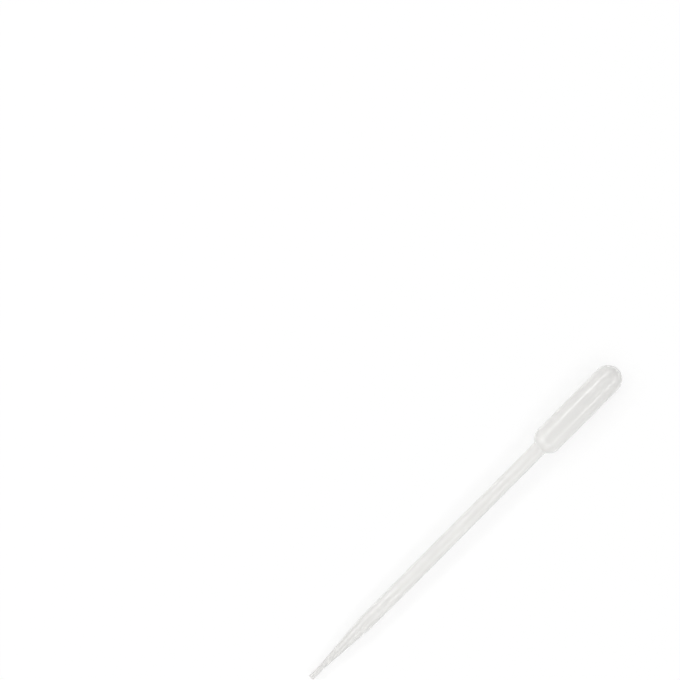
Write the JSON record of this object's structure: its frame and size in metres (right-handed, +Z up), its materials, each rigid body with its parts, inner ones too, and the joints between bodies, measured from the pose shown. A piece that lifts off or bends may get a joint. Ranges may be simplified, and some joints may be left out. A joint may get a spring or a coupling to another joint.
{
  "type": "dropper pipette",
  "caption": "One-piece squeeze-bulb dropper pipette of milky plastic: a hollow round bulb, a long thin-walled stem and a narrow open tip.",
  "frame": {"origin": "on the surface that the pipette lies on, under the middle of its bounding box", "axes": "+X along the pipette from the tip to the bulb, +Z up from the surface; the pipette's own axis rises 1.51 degrees towards the bulb, because it rests on its knee and its shoulder"},
  "size_m": [0.3, 0.02, 0.0215],
  "materials": {
    "polythene": "milky translucent low-density polythene, satin from the mould, with faint lines along it"
  },
  "bodies": {
    "root": {"pipette": "polythene"}
  },
  "joints": []
}
